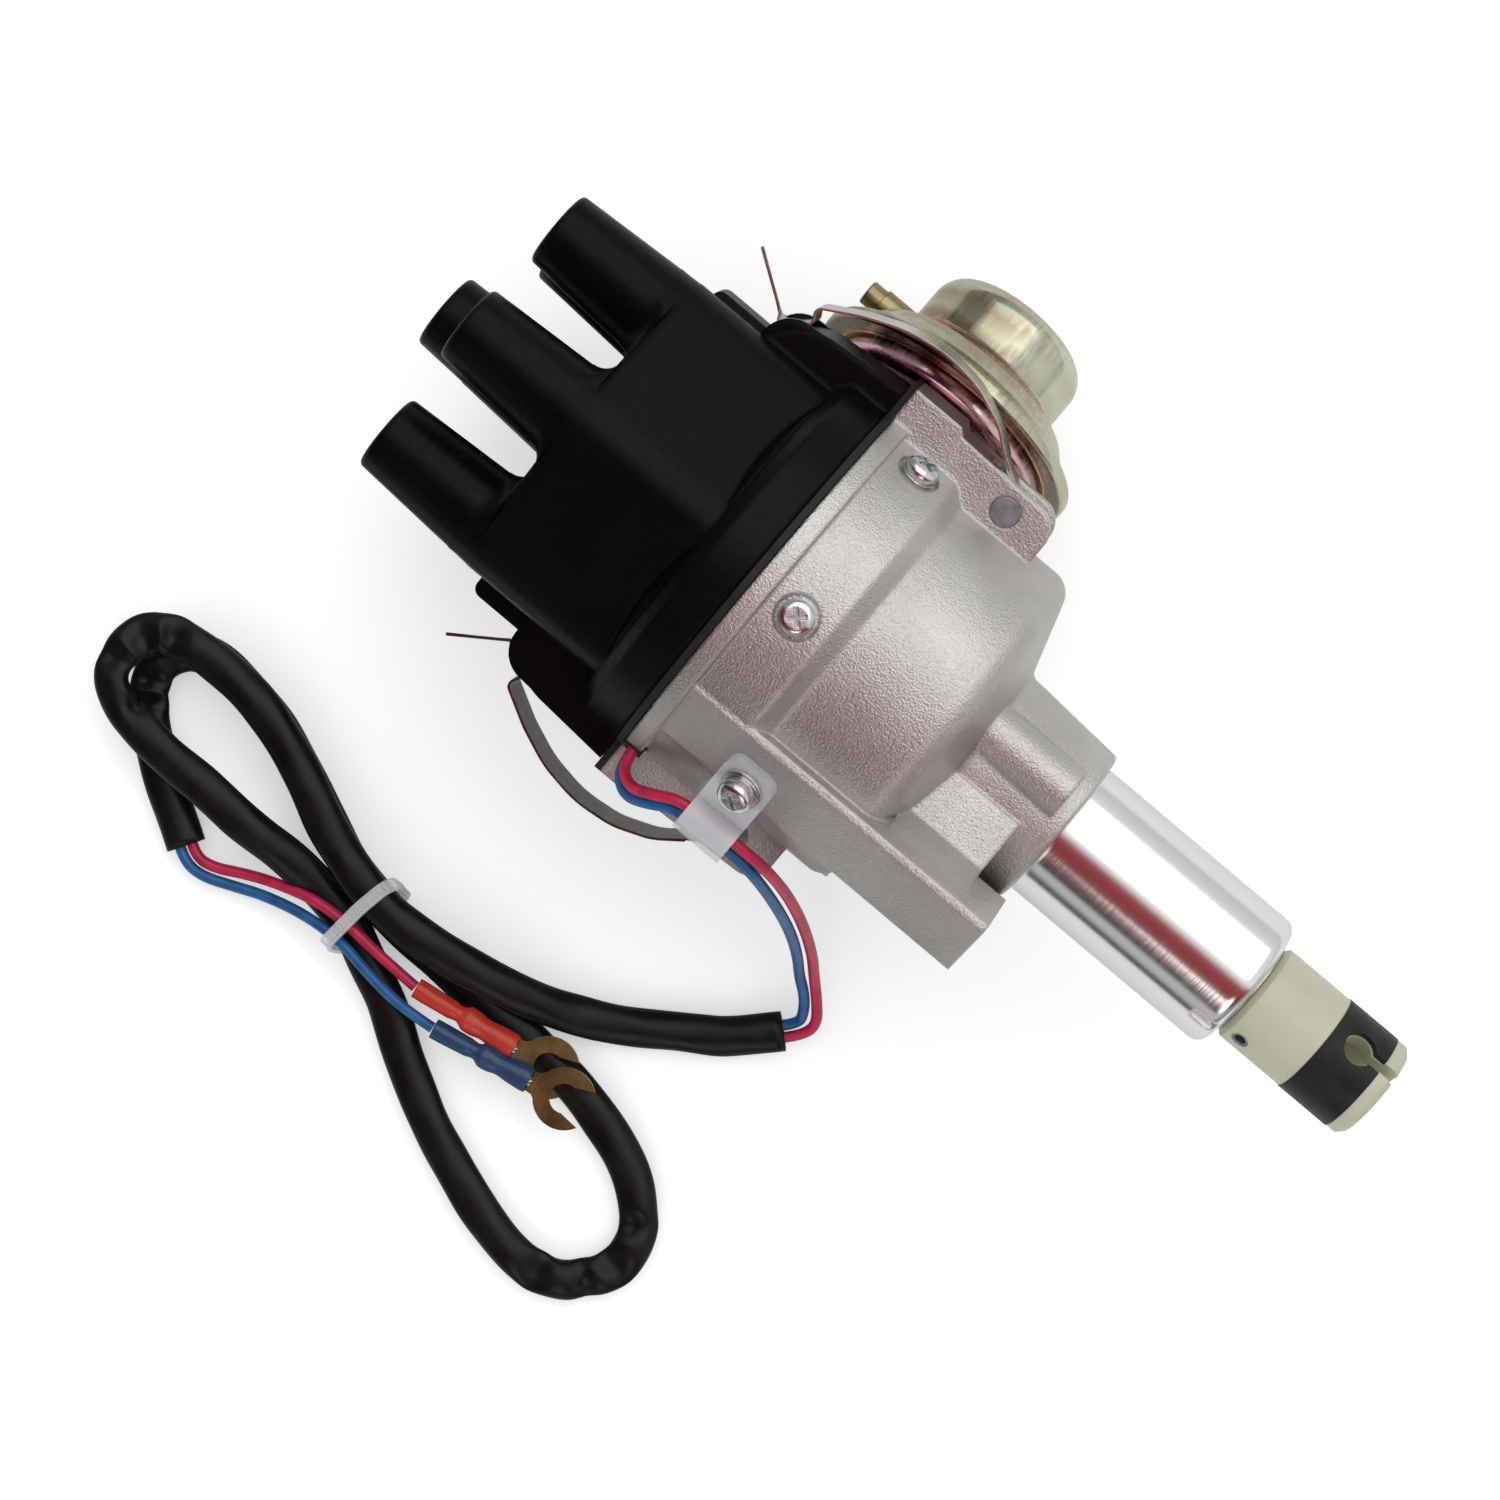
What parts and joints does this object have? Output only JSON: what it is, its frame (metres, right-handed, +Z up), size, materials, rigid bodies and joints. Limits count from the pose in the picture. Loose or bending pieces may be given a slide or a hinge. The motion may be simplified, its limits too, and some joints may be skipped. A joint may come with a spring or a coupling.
{
  "type": "ignition distributor",
  "caption": "Engine ignition distributor with a moulded cap, cast housing, vacuum advance canister, sprung clips, drive shaft and a sleeved two-wire harness.",
  "frame": {"origin": "on the shaft axis, at the shoulder where the machined spigot leaves the cast boss", "axes": "+X along the shaft towards the drive end, +Y towards the vacuum canister, +Z up as it lies on a table"},
  "size_m": [0.2475, 0.2116, 0.0954],
  "materials": {
    "cast_alloy": "fine cast grain, satin",
    "bronze": "machined",
    "shaft_steel": "ground",
    "plate_steel": "zinc plated, satin",
    "cap_plastic": "satin moulding",
    "rotor_plastic": "satin moulding",
    "brass": "stamped, satin",
    "terminal_alloy": "satin",
    "carbon": "carbon",
    "spring_steel": "bright",
    "black_rubber": "matt",
    "zinc_screws": "bright zinc",
    "yellow_zinc": "yellow passivated zinc, bright",
    "pink_zinc": "passivated zinc with a pink sheen",
    "ivory_nylon": "smooth",
    "dark_ring": "satin",
    "clear_nylon": "milky",
    "red_wire": "smooth insulation",
    "blue_wire": "smooth insulation",
    "sleeve_vinyl": "soft satin vinyl",
    "red_shrink": "heat-shrink tube",
    "blue_shrink": "heat-shrink tube"
  },
  "bodies": {
    "housing": {"blue_fork": "brass", "blue_lead": "blue_wire", "blue_shrink": "blue_shrink", "blue_tail": "blue_wire", "bracket_screws": "zinc_screws", "cable_tie": "clear_nylon", "cap_gasket": "black_rubber", "clamp_screw": "zinc_screws", "clamp_washers": "zinc_screws", "clip_pins": "shaft_steel", "diaphragm": "black_rubber", "fixed_plate": "plate_steel", "hose_nipple": "yellow_zinc", "housing": "cast_alloy", "inner_shell": "pink_zinc", "lead_grommet": "black_rubber", "lower_bush": "bronze", "outer_shell": "yellow_zinc", "red_fork": "brass", "red_lead": "red_wire", "red_shrink": "red_shrink", "red_tail": "red_wire", "side_screws": "zinc_screws", "side_washers": "zinc_screws", "sleeve": "sleeve_vinyl", "thrust_washer": "ivory_nylon", "upper_bush": "bronze", "vacuum_bracket": "yellow_zinc", "vacuum_spring": "spring_steel", "wire_clamp": "clear_nylon"},
    "shaft": {"shaft": "shaft_steel", "governor_plate": "plate_steel", "weight_pivots": "shaft_steel", "drive_coupling": "ivory_nylon", "coupling_ring": "dark_ring", "roll_pin": "shaft_steel"},
    "cam": {"cam_sleeve": "shaft_steel", "reluctor": "plate_steel", "rotor_arm": "rotor_plastic", "rotor_electrode": "brass"},
    "weight_a": {"weight_a": "plate_steel"},
    "weight_b": {"weight_b": "plate_steel"},
    "plate": {"moving_plate": "plate_steel", "pickup_coil": "rotor_plastic", "pickup_core": "plate_steel"},
    "rod": {"vacuum_rod": "plate_steel"},
    "cap": {"cap": "cap_plastic", "tower_terminals": "terminal_alloy", "centre_terminal": "terminal_alloy", "brush_spring": "spring_steel"},
    "brush": {"carbon_brush": "carbon"},
    "upper_clip": {"upper_clip": "spring_steel"},
    "lower_clip": {"lower_clip": "spring_steel"}
  },
  "joints": [
    {"name": "shaft_spin", "type": "hinge", "parent": "housing", "child": "shaft", "pos_m": [0, 0, 0], "axis": [1, 0, 0], "continuous": true},
    {"name": "advance", "type": "hinge", "parent": "shaft", "child": "cam", "pos_m": [0, 0, 0], "axis": [1, 0, 0], "range_deg": [0, 9.8], "stiffness_Nm_per_rad": 0.3, "springref_deg": -2.86},
    {"name": "weight_a_swing", "type": "hinge", "parent": "shaft", "child": "weight_a", "pos_m": [-0.04, 0, 0.02], "axis": [1, 0, 0], "range_deg": [0, 15]},
    {"name": "weight_b_swing", "type": "hinge", "parent": "shaft", "child": "weight_b", "pos_m": [-0.04, 0, -0.02], "axis": [1, 0, 0], "range_deg": [0, 15]},
    {"name": "vacuum_plate", "type": "hinge", "parent": "housing", "child": "plate", "pos_m": [-0.063, 0, 0], "axis": [1, 0, 0], "range_deg": [0, 10], "stiffness_Nm_per_rad": 0.9, "springref_deg": -2.86},
    {"name": "vacuum_rod_slide", "type": "slide", "parent": "housing", "child": "rod", "axis": [0, 0.9681, -0.2504], "range_m": [0, 0.004], "deforming": ["diaphragm", "vacuum_spring"]},
    {"name": "cap_lift", "type": "slide", "parent": "housing", "child": "cap", "axis": [-1, 0, 0], "range_m": [0, 0.06]},
    {"name": "brush_slide", "type": "slide", "parent": "cap", "child": "brush", "axis": [-1, 0, 0], "range_m": [0, 0.0015], "stiffness_N_per_m": 200, "springref_m": -0.002, "deforming": ["brush_spring"]},
    {"name": "upper_clip_swing", "type": "hinge", "parent": "housing", "child": "upper_clip", "pos_m": [-0.047, 0.0401, 0.00852], "axis": [0, 0.2079, -0.9781], "range_deg": [0, 75]},
    {"name": "lower_clip_swing", "type": "hinge", "parent": "housing", "child": "lower_clip", "pos_m": [-0.047, -0.0401, -0.00852], "axis": [0, -0.2079, 0.9781], "range_deg": [0, 75]}
  ],
  "couplings": [
    {"joint": "weight_a_swing", "follows": "advance", "ratio": 1.53},
    {"joint": "weight_b_swing", "follows": "advance", "ratio": 1.53},
    {"joint": "vacuum_rod_slide", "follows": "vacuum_plate", "m_per_rad": 0.022},
    {"joint": "upper_clip_swing", "follows": "cap_lift", "rad_per_m": 21.8},
    {"joint": "lower_clip_swing", "follows": "cap_lift", "rad_per_m": 21.8}
  ]
}
